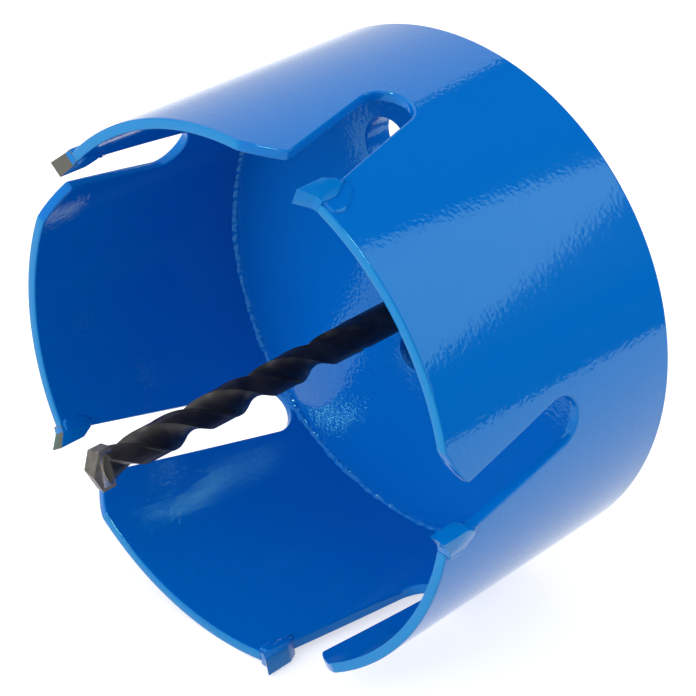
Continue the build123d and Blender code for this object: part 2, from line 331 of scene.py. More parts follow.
def sweep_circle(radius, segments, place, axis, angle, steps, closed, climb=0.0):
    """New bmesh with a circle swept round the Y axis, closed on itself or climbing towards the teeth."""
    bm = bmesh.new()
    bmesh.ops.create_circle(bm, segments=segments, radius=radius, cap_ends=False, matrix=place)
    bmesh.ops.spin(
        bm,
        geom=bm.verts[:] + bm.edges[:],
        cent=(0, 0, 0),
        axis=axis,
        dvec=(0, -climb, 0),
        angle=angle,
        steps=steps,
        use_merge=closed,
    )
    return bm


def only(kind, items):
    return [item for item in items if isinstance(item, kind)]


def gather(whole, part):
    """Move one bmesh into another."""
    mesh = bpy.data.meshes.new("part")
    part.to_mesh(mesh)
    part.free()
    whole.from_mesh(mesh)
    bpy.data.meshes.remove(mesh)


def new_object(bm, name, material):
    """Make an object of a finished bmesh."""
    mesh = bpy.data.meshes.new(name)
    bm.to_mesh(mesh)
    bm.free()
    mesh.materials.append(material)
    item = bpy.data.objects.new(name, mesh)
    bpy.context.scene.collection.objects.link(item)
    return item


def add_piece(bm, name, material, slot, *nodes, sharp=35):
    """Make a piece of the saw, hide the nodes it stands in for, and smooth all but its sharp edges."""
    piece = new_object(bm, name, material)
    piece.data.shade_smooth()
    piece.data.set_sharp_from_angle(angle=math.radians(sharp))
    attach(piece, BODY)
    if nodes:
        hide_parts(*nodes)
    return piece


def soften_edges(piece, width):
    """Round a piece's hard edges with a live bevel."""
    bevel = piece.modifiers.new("rounded edges", "BEVEL")
    bevel.width = width
    bevel.segments = 2
    bevel.limit_method = "ANGLE"
    bevel.angle_limit = math.radians(35)
    bevel.harden_normals = True


def merged_copy(node):
    """Copy a node's loose triangles as one closed skin, with its flat faces whole again."""
    bm = bmesh.new()
    bm.from_mesh(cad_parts[node].data)
    bmesh.ops.remove_doubles(bm, verts=bm.verts, dist=WELD_DISTANCE)
    bmesh.ops.dissolve_limit(
        bm, angle_limit=math.radians(0.5), verts=bm.verts, edges=bm.edges, use_dissolve_boundaries=False
    )
    return bm


# ---------- node groups


def new_group(name, inputs, output):
    """Empty shader node group with its inputs and one output, and the sockets that stand for them."""
    tree = bpy.data.node_groups.new(name, "ShaderNodeTree")
    for socket_name, kind, value in inputs:
        socket = tree.interface.new_socket(name=socket_name, in_out="INPUT", socket_type=kind)
        socket.default_value = value
    tree.interface.new_socket(name=output[0], in_out="OUTPUT", socket_type=output[1])
    given = tree.nodes.new("NodeGroupInput")
    result = tree.nodes.new("NodeGroupOutput")
    return tree, given.outputs, result.inputs[0]


def add_node(tree, kind, **settings):
    node = tree.nodes.new(kind)
    for name, value in settings.items():
        if name in node.inputs:
            node.inputs[name].default_value = value
        else:
            setattr(node, name, value)
    return node


def feed(tree, socket, value):
    """Link an input to a socket, or give it a constant."""
    if isinstance(value, bpy.types.NodeSocket):
        tree.links.new(value, socket)
    else:
        socket.default_value = value


def add_math(tree, operation, first, second):
    """Math node whose two inputs are numbers or sockets."""
    node = add_node(tree, "ShaderNodeMath", operation=operation)
    feed(tree, node.inputs[0], first)
    feed(tree, node.inputs[1], second)
    return node.outputs[0]


def mix_colours(tree, mask, first, second):
    blend = add_node(tree, "ShaderNodeMix", data_type="RGBA")
    for index, value in ((0, mask), (6, first), (7, second)):
        feed(tree, blend.inputs[index], value)
    return blend.outputs[2]


def object_place(tree):
    return add_node(tree, "ShaderNodeTexCoord").outputs["Object"]


def add_clouds(tree, place, scale, **settings):
    """Noise at a place, whose scale comes from a socket."""
    clouds = add_node(tree, "ShaderNodeTexNoise", **settings)
    tree.links.new(place, clouds.inputs["Vector"])
    tree.links.new(scale, clouds.inputs["Scale"])
    return clouds.outputs["Fac"]


def add_grain(tree, scale, detail):
    """Fine noise of a fixed scale."""
    grain = add_node(tree, "ShaderNodeTexNoise", Scale=scale, Detail=detail)
    tree.links.new(object_place(tree), grain.inputs["Vector"])
    return grain.outputs["Fac"]


def add_ramp(tree, value, zero_at, one_at):
    """0 at one level of a value and 1 at another."""
    span = add_node(tree, "ShaderNodeMapRange")
    for name, level in (("Value", value), ("From Min", zero_at), ("From Max", one_at)):
        feed(tree, span.inputs[name], level)
    return span.outputs["Result"]


def vary(tree, value, low, high):
    """Bring a 0 to 1 value between two levels."""
    span = add_node(tree, "ShaderNodeMapRange")
    for name, level in (("Value", value), ("To Min", low), ("To Max", high)):
        feed(tree, span.inputs[name], level)
    return span.outputs["Result"]


def split_axes(tree, vector):
    parts = add_node(tree, "ShaderNodeSeparateXYZ")
    tree.links.new(vector, parts.inputs[0])
    return parts.outputs


def peel_group():
    """Ripple of a powder coat: rounded cells of uneven size, as a height."""
    tree, given, result = new_group(
        "Powder Ripple",
        (("Scale", "NodeSocketFloat", 700.0),),
        ("Height", "NodeSocketFloat"),
    )
    links = tree.links
    place = object_place(tree)
    waves = add_clouds(tree, place, given["Scale"], Detail=1.5, Roughness=0.45)
    cells = add_node(tree, "ShaderNodeTexVoronoi", feature="SMOOTH_F1", Smoothness=0.8)
    links.new(place, cells.inputs["Vector"])
    links.new(add_math(tree, "MULTIPLY", given["Scale"], 1.3), cells.inputs["Scale"])
    mounds = add_math(tree, "MULTIPLY", cells.outputs["Distance"], -0.5)
    links.new(add_math(tree, "ADD", waves, mounds), result)
    return tree


def tone_group():
    """Slow drift of a colour between itself and a second one."""
    tree, given, result = new_group(
        "Tone Drift",
        (
            ("Colour", "NodeSocketColor", (0.5, 0.5, 0.5, 1.0)),
            ("Second Colour", "NodeSocketColor", (0.4, 0.4, 0.4, 1.0)),
            ("Scale", "NodeSocketFloat", 60.0),
            ("Amount", "NodeSocketFloat", 0.2),
        ),
        ("Colour", "NodeSocketColor"),
    )
    clouds = add_clouds(tree, object_place(tree), given["Scale"], Detail=4.0, Roughness=0.55)
    drift = add_math(tree, "MULTIPLY", clouds, given["Amount"])
    tree.links.new(mix_colours(tree, drift, given["Colour"], given["Second Colour"]), result)
    return tree


def patch_group():
    """Mask of ragged patches, for what lies bare, rubbed or spilt."""
    tree, given, result = new_group(
        "Ragged Patches",
        (
            ("Scale", "NodeSocketFloat", 500.0),
            ("Cover", "NodeSocketFloat", 0.5),
            ("Softness", "NodeSocketFloat", 0.04),
        ),
        ("Mask", "NodeSocketFloat"),
    )
    place = object_place(tree)
    clouds = add_clouds(tree, place, given["Scale"], Detail=5.0, Roughness=0.6, Distortion=0.4)
    level = add_math(tree, "SUBTRACT", 1.0, given["Cover"])
    zero_at = add_math(tree, "SUBTRACT", level, given["Softness"])
    one_at = add_math(tree, "ADD", level, given["Softness"])
    tree.links.new(add_ramp(tree, clouds, zero_at, one_at), result)
    return tree


def turned_group():
    """Fine lines that a lathe or grinding wheel leaves round the Y axis, as a height."""
    tree, given, result = new_group(
        "Turned Lines", (("Scale", "NodeSocketFloat", 6000.0),), ("Height", "NodeSocketFloat")
    )
    links = tree.links
    parts = split_axes(tree, object_place(tree))
    squares = [add_math(tree, "POWER", parts[axis], 2.0) for axis in ("X", "Z")]
    radius = add_math(tree, "SQRT", add_math(tree, "ADD", *squares), 0.0)
    lines = add_node(tree, "ShaderNodeCombineXYZ")
    links.new(radius, lines.inputs["X"])
    links.new(parts["Y"], lines.inputs["Y"])
    grain = add_clouds(tree, lines.outputs["Vector"], given["Scale"], Detail=3.0, Roughness=0.7)
    links.new(grain, result)
    return tree


GROUPS = {}


def use_group(tree, make, **values):
    """Place a shared effect in a material and return its output. Each effect's node group is built once."""
    if make not in GROUPS:
        GROUPS[make] = make()
    node = tree.nodes.new("ShaderNodeGroup")
    node.node_tree = GROUPS[make]
    for name, value in values.items():
        node.inputs[name.replace("_", " ").title()].default_value = value
    return node.outputs[0]


# ---------- materials


def start_material(name, **shader_values):
    """New material with its Principled shader's constants set on the shader itself."""
    material = bpy.data.materials.new(name)
    material.use_nodes = True
    shader = material.node_tree.nodes["Principled BSDF"]
    for socket, value in shader_values.items():
        shader.inputs[socket.replace("_", " ")].default_value = value
    return material, material.node_tree, shader


def add_bump(tree, shader, height, distance):
    bump = add_node(tree, "ShaderNodeBump", Distance=distance, Strength=1.0)
    tree.links.new(height, bump.inputs["Height"])
    tree.links.new(bump.outputs["Normal"], shader.inputs["Normal"])


def darkened(colour_value, kept):
    """A colour with only a share of its brightness kept."""
    return tuple(kept * channel for channel in colour_value[:3]) + (1.0,)


def blue_tone(tree, finish, scale, amount):
    """The coat's blue, drifting towards its thinner shade."""
    shades = {"Colour": finish.paint, "Second_Colour": finish.paint_thin_and_lit}
    return use_group(tree, tone_group, Scale=scale, Amount=amount, **shades)


def dress(tree, shader, tone, height, depth, low, high):
    """Link a shader's colour, and let a height give its relief and its roughness between two levels."""
    tree.links.new(tone, shader.inputs["Base Color"])
    tree.links.new(vary(tree, height, low, high), shader.inputs["Roughness"])
    add_bump(tree, shader, height, depth)


def powder_coat(name, finish, ripple, ripple_height, roughness):
    """Glossy blue powder coat: a rippled skin whose colour drifts a little."""
    material, tree, shader = start_material(name, IOR=1.5, Specular_Tint=finish.paint_sheen)
    height = use_group(tree, peel_group, Scale=ripple)
    tone = blue_tone(tree, finish, 45.0, 0.16)
    dress(tree, shader, tone, height, ripple_height, roughness * 0.8, roughness * 1.3)
    return material


def wall_paint(finish):
    """The cup's paint, with painted light on the rim's land: a lighter, more cyan shade where the land faces
    the front light.
    """
    material = powder_coat("wall_powder_coat", finish, 1000.0, 0.035 * MM * finish.peel, finish.paint_gloss)
    tree = material.node_tree
    base = tree.nodes["Principled BSDF"].inputs["Base Color"]
    # Painted light: within 0.3 mm of the rim the coat blends to the lighter shade that the land shows facing
    # the front light
    land_from, land_to = 0.30 * MM, 0.05 * MM
    along_axis = split_axes(tree, object_place(tree))["Y"]
    land = add_ramp(tree, along_axis, -RIM + land_from, -RIM + land_to)
    body = base.links[0].from_socket
    tree.links.new(mix_colours(tree, land, body, finish.paint_thin_and_lit), base)
    return material


def plate_paint(finish):
    return powder_coat("plate_powder_coat", finish, 1150.0, 0.10 * MM * finish.pebble, finish.paint_gloss)


def weld_paint(finish):
    return powder_coat("weld_powder_coat", finish, 900.0, 0.22 * MM, 0.06)


def braze_paint(finish):
    return powder_coat("braze_powder_coat", finish, 600.0, 0.16 * MM, 0.05)


def tip_finish(name, finish, bare, bare_top):
    """Carbide tip under powder coat, with the carbide bare in chips and over part of its ground top."""
    material, tree, shader = start_material(name, IOR=1.5, Specular_Tint=finish.paint_sheen)
    chips = use_group(tree, patch_group, Scale=420.0, Cover=bare, Softness=0.03)
    worn = use_group(tree, patch_group, Scale=250.0, Cover=bare_top, Softness=0.02)
    facing = split_axes(tree, add_node(tree, "ShaderNodeTexCoord").outputs["Normal"])["Y"]
    # Only the sloping top looks towards the teeth at a slant: between these levels of its normal's Y
    top = add_ramp(tree, facing, -0.6, -0.75)
    slope = add_ramp(tree, facing, -0.95, -0.90)
    sloping = add_math(tree, "MULTIPLY", top, slope)
    ground = add_math(tree, "MULTIPLY", worn, sloping)
    mask = add_math(tree, "MAXIMUM", chips, ground)
    tone = blue_tone(tree, finish, 90.0, 0.9)
    grain = add_grain(tree, 9000.0, 2.0)
    carbide = mix_colours(tree, grain, finish.carbide, darkened(finish.carbide, 0.55))
    tree.links.new(mix_colours(tree, mask, tone, carbide), shader.inputs["Base Color"])
    tree.links.new(vary(tree, mask, 0.0, 0.75), shader.inputs["Metallic"])
    tree.links.new(vary(tree, mask, finish.paint_gloss, 0.42), shader.inputs["Roughness"])
    skin = use_group(tree, peel_group, Scale=800.0)
    add_bump(tree, shader, add_math(tree, "ADD", skin, grain), 0.02 * MM)
    return material


def turned_steel(name, steel, roughness, scale):
    """Steel turned or ground round the saw's axis, faintly clouded."""
    dull = darkened(steel, 0.8)
    material, tree, shader = start_material(name, Metallic=1.0)
    tone = use_group(tree, tone_group, Colour=steel, Second_Colour=dull, Scale=150.0, Amount=0.8)
    lines = use_group(tree, turned_group, Scale=scale)
    dress(tree, shader, tone, lines, 0.01 * MM, roughness * 0.7, roughness * 1.4)
    return material


def black_oxide(name, finish):
    """Satin black drill steel, rubbed to a dark grey in places."""
    material, tree, shader = start_material(name, Metallic=0.35, IOR=1.5)
    rubbed = use_group(tree, patch_group, Scale=170.0, Cover=0.42, Softness=0.16)
    worn = mix_colours(tree, rubbed, finish.black, finish.black_worn)
    lines = use_group(tree, turned_group, Scale=5000.0)
    dress(tree, shader, worn, lines, 0.02 * MM, 0.26, 0.46)
    return material


def sintered_carbide(name, finish):
    """Ground carbide: grey, fine-grained, dulled in patches."""
    material, tree, shader = start_material(name, Metallic=0.8)
    patches = use_group(tree, patch_group, Scale=600.0, Cover=0.4, Softness=0.15)
    clouded = mix_colours(tree, patches, finish.carbide, darkened(finish.carbide, 0.45))
    dress(tree, shader, clouded, add_grain(tree, 7000.0, 3.0), 0.03 * MM, 0.3, 0.5)
    return material


def silver_braze(name, finish):
    """Bright braze metal, lumpy where it has run."""
    material, tree, shader = start_material(name, Metallic=0.9)
    patches = use_group(tree, patch_group, Scale=300.0, Cover=0.4, Softness=0.2)
    clouded = mix_colours(tree, patches, finish.braze, darkened(finish.braze, 0.5))
    dress(tree, shader, clouded, use_group(tree, peel_group, Scale=1500.0), 0.012 * MM, 0.2, 0.34)
    return material


# ---------- cup wall

SEAM_BEHIND = 30 * MM  # a segment's ends are cut this far behind its tip
SEAM_SPARE = 3 * MM
STRIPS = 72  # strips per pitch, one to a degree
LONG_SLOT_GAP = 0.1 * MM  # left between the long slot's end and the weld
TIP_BACK = 3.8 * MM  # depth of a tip's back face below the rim
SEAT_NEAR = 1.3 * MM  # a tip's rounded lower end lies between these distances from its cutting face
SEAT_FAR = 2.6 * MM


def flank(sizes, depth):
    """Place of a slot's near flank at a depth below the rim, ahead of the cutting face."""
    return -sizes.tip_reach + depth * math.tan(sizes.slot_lean)


def wall_outline(sizes, depth):
    """Corners of one pitch of the wall laid flat, from the rim behind the tip round to the back edge."""
    lean = math.tan(sizes.slot_lean)
    half = sizes.slot_width / 2
    mouth = half / math.cos(sizes.slot_lean)
    middle = mouth - sizes.tip_reach
    along = Vector((math.sin(sizes.slot_lean), -math.cos(sizes.slot_lean)))
    across = Vector((math.cos(sizes.slot_lean), math.sin(sizes.slot_lean)))
    end = Vector((middle + (depth - half) * lean, -(depth - half)))
    near_corner = end + (along - across) * half
    far_corner = end + (along + across) * half
    chip_flank = Vector((middle + mouth + sizes.chip_depth * lean, -sizes.chip_depth))
    chip_rim = Vector((middle + mouth + sizes.chip_length, 0))
    chord = chip_rim - chip_flank
    outwards = Vector((-chord.y, chord.x)).normalized()
    chip_peak = (chip_flank + chip_rim) / 2 + outwards * sizes.chip_bulge * 2
    pitch = OUTER_RADIUS * PITCH
    left = -SEAM_BEHIND - SEAM_SPARE
    right = pitch - SEAM_BEHIND + SEAM_SPARE
    heel = -sizes.tip_width
    small = 0.5 * MM
    return (
        (left, 0, 0, 0),
        (heel, 0, 0, 0),
        (heel, -TIP_BACK, small, 3),
        (-SEAT_FAR, -sizes.tip_seat, small, 3),
        (flank(sizes, sizes.tip_seat), -sizes.tip_seat, 0, 0),
        (*near_corner, half - 0.01 * MM, 12),
        (*far_corner, half - 0.01 * MM, 12),
        (*chip_flank, small, 3),
        (*chip_peak, chord.length * 0.42, 6),
        (*chip_rim, small, 3),
        (right, 0, 0, 0),
        (right, -CUP_HEIGHT, 0, 0),
        (left, -CUP_HEIGHT, 0, 0),
    )


class HOLESAW_OT_wall(Operator):
    """Make the painted cup wall: five segments with leaning slots, chip chamfers and rounded edges"""

    bl_idname = "hole_saw.wall"
    bl_label = "Cup Wall"

    def execute(self, context):
        sizes = context.scene.hole_saw_sizes
        whole = bmesh.new()
        first, last = -SEAM_BEHIND, OUTER_RADIUS * PITCH - SEAM_BEHIND
        for i in range(TIPS):
            long_depth = RIM - PLATE_FACE - WELD_LEG - LONG_SLOT_GAP
            depth = long_depth if i + 1 == sizes.long_slot else sizes.slot_depth
            segment = flat_outline(wall_outline(sizes, depth))
            raise_slab(segment, WALL / 2, sizes.edge_rounding, steps=4, shoulder=0.25 * MM)
            cut(segment, (first, 0, 0), (1, 0, 0), clear_behind=True)
            cut(segment, (last, 0, 0), (1, 0, 0), clear_ahead=True)
            slice_across(segment, first, last, STRIPS)
            bend_round_axis(segment, tip_angle(i), MID_RADIUS)
            gather(whole, segment)
        finish_mesh(whole)
        material = wall_paint(context.scene.hole_saw_finish)
        add_piece(whole, "cup_wall", material, "blue_paint", "cup_shell", sharp=50)
        return {"FINISHED"}


# ---------- base plate and weld


def drilled_disc(sizes):
    """Round plate from the cup's back to the plate's inner face, with its holes and their broken rims."""
    circles = [(0, 0, INNER_RADIUS, 240), (0, 0, sizes.thread_diameter / 2, 72)]
    for half_turn in (0, math.pi):
        for out, turn, across in (
            (sizes.knock_out_out, sizes.knock_out_turn, sizes.knock_out_diameter),
            (sizes.pin_out, sizes.pin_turn, sizes.pin_hole_diameter),
        ):
            at = turn + half_turn
            circles.append((out * math.cos(at), out * math.sin(at), across / 2, 64))
    bm = bmesh.new()
    for x, z, radius, segments in circles:
        place = Matrix.Translation((x, -PLATE_FACE, z)) @ UPRIGHT
        bmesh.ops.create_circle(bm, segments=segments, radius=radius, cap_ends=False, matrix=place)
    bmesh.ops.triangle_fill(bm, use_beauty=True, edges=bm.edges[:], normal=(0, 1, 0))
    grown = bmesh.ops.extrude_face_region(bm, geom=bm.faces[:], use_keep_orig=True)["geom"]
    bmesh.ops.translate(bm, verts=only(bmesh.types.BMVert, grown), vec=(0, PLATE_FACE - BACK, 0))
    bmesh.ops.recalc_face_normals(bm, faces=bm.faces)
    rims = [edge for edge in bm.edges if edge.is_manifold and edge.calc_face_angle() > math.radians(60)]
    round_off(bm, rims, "EDGES", sizes.hole_break, 3)
    finish_mesh(bm)
    return bm


class HOLESAW_OT_base(Operator):
    """Make the painted base plate with its drilled holes"""

    bl_idname = "hole_saw.base"
    bl_label = "Base Plate"

    def execute(self, context):
        plate = drilled_disc(context.scene.hole_saw_sizes)
        material = plate_paint(context.scene.hole_saw_finish)
        add_piece(plate, "base_plate_skin", material, "blue_paint", "base_plate")
        return {"FINISHED"}


class HOLESAW_OT_weld(Operator):
    """Make the uneven weld bead that runs round the inner corner"""

    bl_idname = "hole_saw.weld"
    bl_label = "Weld Bead"

    def execute(self, context):
        sizes = context.scene.hole_saw_sizes
        rings = 720
        sunk = 0.45 * MM
        centre = Vector((INNER_RADIUS + sunk, -PLATE_FACE + sunk, 0))
        place = Matrix.Translation(centre)
        bm = sweep_circle(sizes.weld_size, 12, place, (0, 1, 0), math.tau, rings, True)
        # Long runs, short ripples and single beads change the bead's size. Its hidden side is pressed flat
        for vert in bm.verts:
            ring = Vector((vert.co.x, 0, vert.co.z)).normalized()
            middle = ring * centre.x + Vector((0, centre.y, 0))
            around = angle_of(vert.co)
            runs = noise.noise(Vector((ring.x, ring.z, 0.3)) * 9.0)
            ripples = noise.noise(Vector((ring.x, ring.z, 7.1)) * 34.0)
            beads = math.sin(around * 150 + 3 * runs)
            size = min(max(0.9 + 0.22 * runs + 0.20 * ripples + 0.07 * beads, 0.6), 1.15)
            out = (vert.co - middle).dot(ring) * size
            back = (vert.co.y - middle.y) * size
            vert.co = middle + ring * min(out, out * 0.25) + Vector((0, min(back, back * 0.25), 0))
        finish_mesh(bm)
        add_piece(bm, "weld_seam", weld_paint(context.scene.hole_saw_finish), "blue_paint", "weld_bead")
        return {"FINISHED"}


# ---------- tips and braze

BARE_SHARES = (0.36, 0.30, 0.22, 0.32, 0.32)  # how much of each tip has lost its paint
BARE_TOPS = (0.0, 0.0, 0.0, 0.8, 0.8)  # how much of each tip's ground top lies bare
BRAZE_REACH = (1.0, 1.5, 2.6, 1.1, 1.0)  # mm that the braze runs out behind each tip
PUDDLE_LUMPS = 0.09
PUDDLE_LUMP_SIZE = 1.3 * MM


def tip_outline(sizes):
    """Corners of a tip seen from outside: its edge, the end of its ground top, its heel, seat and face."""
    edge = 0.25 * MM
    ground_width = 0.64 * sizes.tip_width
    return (
        (0, sizes.tip_height, 0, 0),
        (-ground_width, sizes.tip_height - sizes.tip_fall, edge, 2),
        (-sizes.tip_width, -0.05 * MM, edge, 2),
        (-sizes.tip_width, -TIP_BACK, edge, 2),
        (-SEAT_FAR, -sizes.tip_seat, edge, 3),
        (-SEAT_NEAR, -sizes.tip_seat, edge, 3),
        (0, -sizes.tip_face, edge, 2),
    )


class HOLESAW_OT_tips(Operator):
    """Make the five carbide tips, rounded by paint and grinding, each in its seat"""

    bl_idname = "hole_saw.tips"
    bl_label = "Carbide Tips"

    def execute(self, context):
        sizes = context.scene.hole_saw_sizes
        inside = INNER_RADIUS - sizes.tip_inside
        outside = OUTER_RADIUS + sizes.tip_outside
        for i in range(TIPS):
            tip = flat_outline(tip_outline(sizes))
            raise_slab(tip, (outside - inside) / 2, sizes.tip_rounding, steps=2)
            for vert in tip.verts:
                side = math.copysign(1, vert.co.z)
                vert.co.z += side * sizes.tip_relief * vert.co.x / sizes.tip_width
                vert.co.z += (outside + inside) / 2
            stand_up(tip, tip_angle(i), RIM, turned=True)
            name = f"tip_{i + 1}"
            finish = context.scene.hole_saw_finish
            material = tip_finish(f"{name}_carbide", finish, BARE_SHARES[i], BARE_TOPS[i])
            add_piece(tip, name, material, "carbide", f"carbide_{name}", sharp=25)
        return {"FINISHED"}


def braze_outline(sizes, reach):
    """Puddle round a tip's seat, which runs a little over the slot's flank."""
    over = 0.15 * MM
    heel = -sizes.tip_width - reach
    foot = -sizes.tip_seat - 0.6 * reach
    edge = 1.1 * MM
    return (
        (flank(sizes, 0.6 * MM) + over, -0.6 * MM, 0, 0),
        (heel, -0.5 * MM, 0.9 * MM, 4),
        (heel - 0.2 * reach, -3.6 * MM, edge, 4),
        (-2.8 * MM - 0.5 * reach, foot, edge, 4),
        (flank(sizes, -foot) - 0.25 * MM, foot - 0.3 * MM, 0.8 * MM, 4),
    )


class HOLESAW_OT_braze(Operator):
    """Make the painted braze that fills the seat round each tip"""

    bl_idname = "hole_saw.braze"
    bl_label = "Braze"

    def execute(self, context):
        sizes = context.scene.hole_saw_sizes
        material = braze_paint(context.scene.hole_saw_finish)
        for i, reach in enumerate(BRAZE_REACH):
            puddle = flat_outline(braze_outline(sizes, reach * MM))
            raise_slab(puddle, WALL / 2 + sizes.braze_height, 0.42 * MM, steps=5, spread=1.9)
            slice_across(puddle, -10 * MM, 2 * MM, 30)
            for vert in puddle.verts:
                lumps = noise.noise(Vector((vert.co.x, vert.co.y, 2 * MM * i)) / PUDDLE_LUMP_SIZE)
                vert.co.z *= 1 + PUDDLE_LUMPS * lumps
            bend_round_axis(puddle, tip_angle(i), MID_RADIUS)
            finish_mesh(puddle)
            add_piece(puddle, f"braze_{i + 1}", material, "blue_paint", sharp=60)
        return {"FINISHED"}


# ---------- pilot drill

DRILL_SIDES = 96
NOSE_HALF_ANGLE = math.radians(65)
END_CHAMFER = 0.6 * MM
HEAD_SHARE = 0.93  # how much of the drill's radius the head fills at its front
BIT_ROUNDING = 0.06 * MM
BRAZE_ROOM = 0.12 * MM  # how far the braze lies in from the drill's side and out from the bit's face
BRAZE_LUMPS = 0.06


def flute_floor(sizes, away):
    """Radius of the flute's floor at an angle away from its middle, or nothing where the flute ends."""
    centre = sizes.flute_web / 2 + sizes.flute_radius
    room = sizes.flute_radius**2 - (centre * math.sin(away)) ** 2
    if room < 0 or math.cos(away) < 0:
        return None
    return centre * math.cos(away) - math.sqrt(room)


def drill_section(sizes, around, drill_radius):
    """Radius of the fluted drill at an angle from the first flute's middle."""
    away = abs(math.remainder(around, math.pi))
    floor = flute_floor(sizes, away)
    if floor is not None and floor < drill_radius:
        return floor
    centre = sizes.flute_web / 2 + sizes.flute_radius
    land_end = math.pi - math.acos(
        (centre**2 + drill_radius**2 - sizes.flute_radius**2) / (2 * centre * drill_radius)
    )
    behind_edge = land_end - (around % math.pi)
    if behind_edge * drill_radius < sizes.margin:
        return drill_radius
    return drill_radius - sizes.margin_relief


def upright_slab(half_width, height, half_thickness, rounding):
    """Flat bar that stands on Y = 0, with rounded edges and enough spare length to be ground off."""
    spare = 2 * MM
    corners = ((-half_width, 0), (half_width, 0), (half_width, height + spare), (-half_width, height + spare))
    bm = flat_outline([(x, y, 0, 0) for x, y in corners])
    raise_slab(bm, half_thickness, rounding, steps=2)
    cut(bm, (0, height, 0), (0, 1, 0), clear_ahead=True, dist=0)
    close_holes(bm)
    return bm


def grind_point(bm, sizes):
    """Grind the bit's two end faces, which meet in a chisel edge and fall away behind their cutting edges."""
    slope = 1 / math.tan(sizes.bit_point / 2)
    fall = math.tan(sizes.bit_relief)
    for side in (1, -1):
        cut(bm, (0, sizes.bit_length, 0), (side * slope, 1, -side * fall), clear_ahead=True)
        close_holes(bm)


class HOLESAW_OT_drill(Operator):
    """Make the pilot drill: shank, two flutes that fade in, margins, coned nose, carbide bit and braze"""

    bl_idname = "hole_saw.drill"
    bl_label = "Pilot Drill"

    def execute(self, context):
        sizes = context.scene.hole_saw_sizes
        finish = context.scene.hole_saw_finish
        drill_radius = sizes.drill_diameter / 2
        start, nose = -DRILL_HIGH.y, -DRILL_LOW.y
        point = -POINT_LOW.y
        flute_start = point - sizes.flute_length
        turn = math.tau / sizes.flute_lead
        steps = 160
        cone = 1 / math.tan(NOSE_HALF_ANGLE)

        place = Matrix.Translation((0, -flute_start, 0)) @ UPRIGHT
        fluted = nose - flute_start
        winding = fluted * turn
        climb = fluted / steps
        bm = sweep_circle(drill_radius, DRILL_SIDES, place, (0, -1, 0), winding, steps, False, climb)
        for vert in bm.verts:
            station = -vert.co.y
            around = angle_of(vert.co) - sizes.flute_angle + (point - station) * turn
            radius = drill_section(sizes, around, drill_radius)
            fade = (flute_start + sizes.flute_run_out - station) / sizes.flute_run_out
            radius = max(radius, min(drill_radius, drill_radius * fade))
            head = 1 - (nose - station) / sizes.head_length
            radius = max(radius, HEAD_SHARE * drill_radius * math.sqrt(max(head, 0)))
            radius = min(radius, max((nose - station) / cone, 0.02 * MM))
            vert.co = Vector((0, -station, 0)) + Vector((vert.co.x, 0, vert.co.z)).normalized() * radius
        back = [edge for edge in bm.edges if edge.is_boundary and edge.verts[0].co.y > -flute_start - 1e-6]
        for shift in (flute_start - start - END_CHAMFER, END_CHAMFER):
            grown = bmesh.ops.extrude_edge_only(bm, edges=back)["geom"]
            verts = only(bmesh.types.BMVert, grown)
            bmesh.ops.translate(bm, verts=verts, vec=(0, shift, 0))
            edges = only(bmesh.types.BMEdge, grown)
            back = [edge for edge in edges if all(vert in verts for vert in edge.verts)]
        narrowed = 1 - END_CHAMFER / drill_radius
        bmesh.ops.scale(bm, verts=verts, vec=(narrowed, 1, narrowed))
        close_holes(bm)
        finish_mesh(bm)
        black = black_oxide("drill_black", finish)
        add_piece(bm, "drill_body", black, "black_steel", "pilot_drill", sharp=40)

        bit = upright_slab(sizes.bit_width / 2, sizes.bit_length, sizes.bit_thickness / 2, BIT_ROUNDING)
        grind_point(bit, sizes)
        stand_up(bit, sizes.bit_angle, point - sizes.bit_length, turned=False)
        add_piece(bit, "drill_bit", sintered_carbide("bit_carbide", finish), "carbide", "pilot_tip", sharp=20)

        half_width = drill_radius - BRAZE_ROOM
        half_thickness = sizes.bit_thickness / 2 + BRAZE_ROOM
        fillet = upright_slab(half_width, 0.62 * sizes.bit_length, half_thickness, 0.1 * MM)
        for vert in fillet.verts:
            vert.co.z *= 1 + BRAZE_LUMPS * noise.noise(vert.co / (0.7 * MM))
        stand_up(fillet, sizes.bit_angle, point - sizes.bit_length - 0.1 * MM, turned=False)
        add_piece(fillet, "bit_braze", silver_braze("bit_braze_metal", finish), "carbide", sharp=60)
        return {"FINISHED"}


# ---------- arbor

STEEL_PIECES = (
    ("arbor_body", "arbor_skin", "zinc_steel", 0.25),
    ("drive_plate", "drive_plate_skin", "zinc_steel", 0.2),
    ("lock_nut", "lock_nut_skin", "zinc_steel", 0.2),
    ("drive_pin_1", "drive_pin_skin_1", "ground_steel", 0.12),
    ("drive_pin_2", "drive_pin_skin_2", "ground_steel", 0.12),
    ("pilot_clamp_screw", "clamp_screw_skin", "black_steel", 0.1),
)


class HOLESAW_OT_arbor(Operator):
    """Make the arbor, its drive plate with pins, the lock nut and the clamp screw"""

    bl_idname = "hole_saw.arbor"
    bl_label = "Arbor"

    def execute(self, context):
        finish = context.scene.hole_saw_finish
        materials = {
            "zinc_steel": turned_steel("zinc_plate", finish.steel, 0.28, 5000.0),
            "ground_steel": turned_steel("ground_pin", finish.pin_steel, 0.2, 9000.0),
            "black_steel": black_oxide("screw_black", finish),
        }
        for node, name, slot, width in STEEL_PIECES:
            piece = add_piece(merged_copy(node), name, materials[slot], slot, node)
            soften_edges(piece, width * MM)
        return {"FINISHED"}


# ---------- stage

WHITE = (1, 1, 1, 1)
FLOOR_REACH = 3.0  # metres from the origin to the floor's edges
FLOOR_GLOW = 0.6  # what makes up for the light that the floor loses, where it is looked at
SAW_MIDDLE = Vector((0, -55 * MM, 0))


